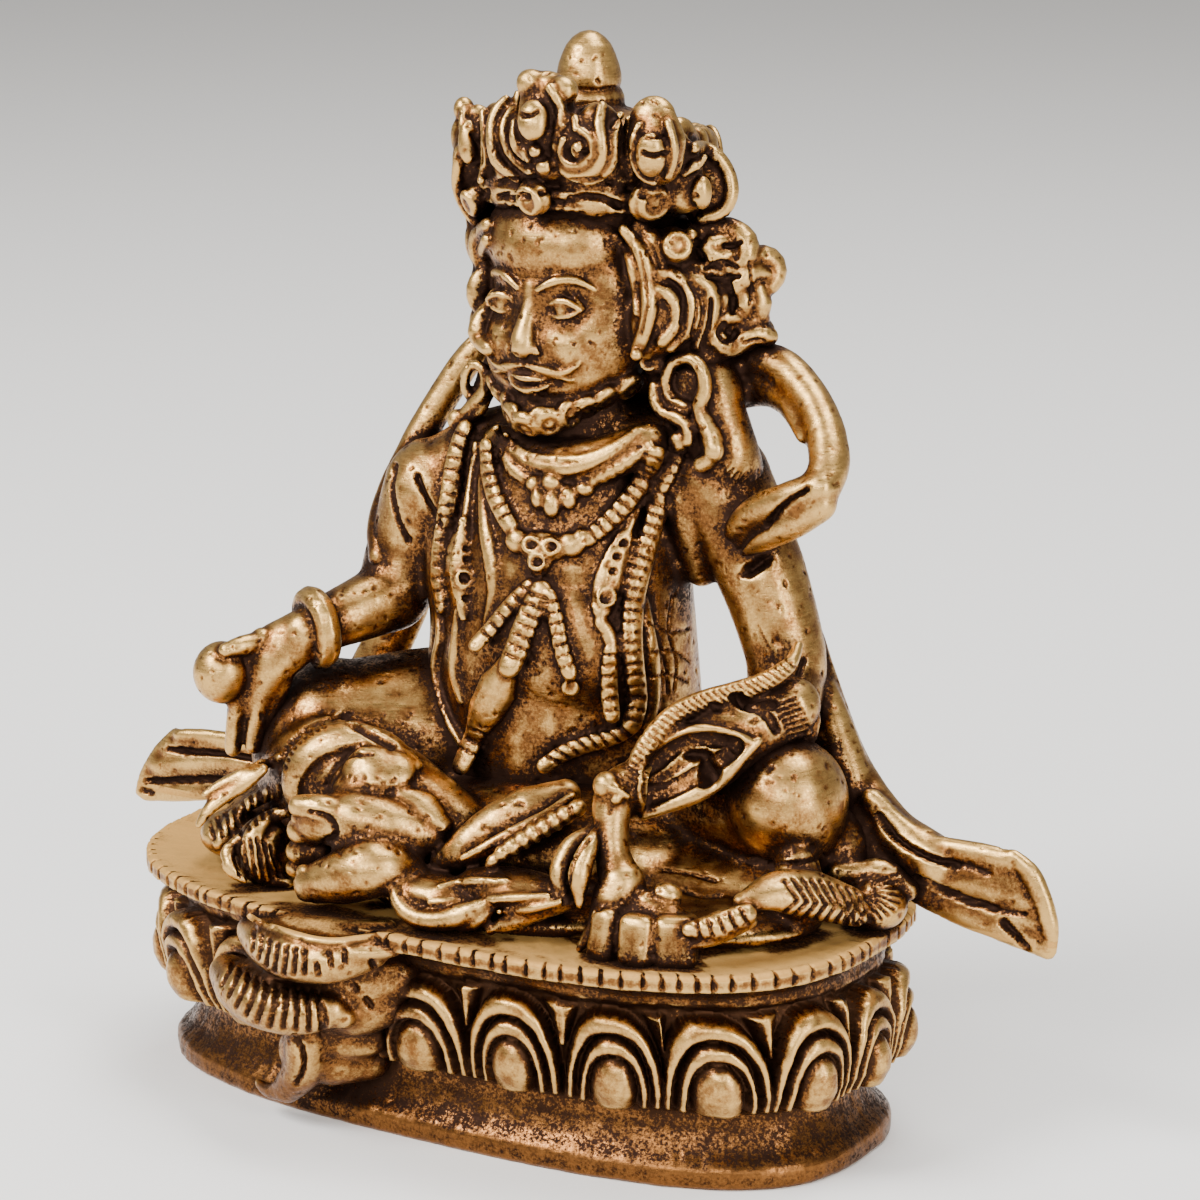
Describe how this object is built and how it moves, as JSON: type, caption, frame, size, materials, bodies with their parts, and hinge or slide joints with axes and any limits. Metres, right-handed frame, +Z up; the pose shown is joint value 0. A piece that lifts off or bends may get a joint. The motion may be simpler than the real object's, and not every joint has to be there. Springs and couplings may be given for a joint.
{
  "type": "kubera statue",
  "caption": "Cast brass figure of a seated guardian king with crown, scarf and mongoose on an oval lotus base; stands on its flat underside.",
  "frame": {"origin": "centre of the base's flat underside", "axes": "+Z up, the figure faces -Y, +X towards the figure's left hand"},
  "size_m": [0.1218, 0.0603, 0.12],
  "materials": {
    "antique_brass": "hand-filed, with dark patina in the recesses and polished high places"
  },
  "bodies": {
    "root": {"kubera_statue": "antique_brass"}
  },
  "joints": []
}
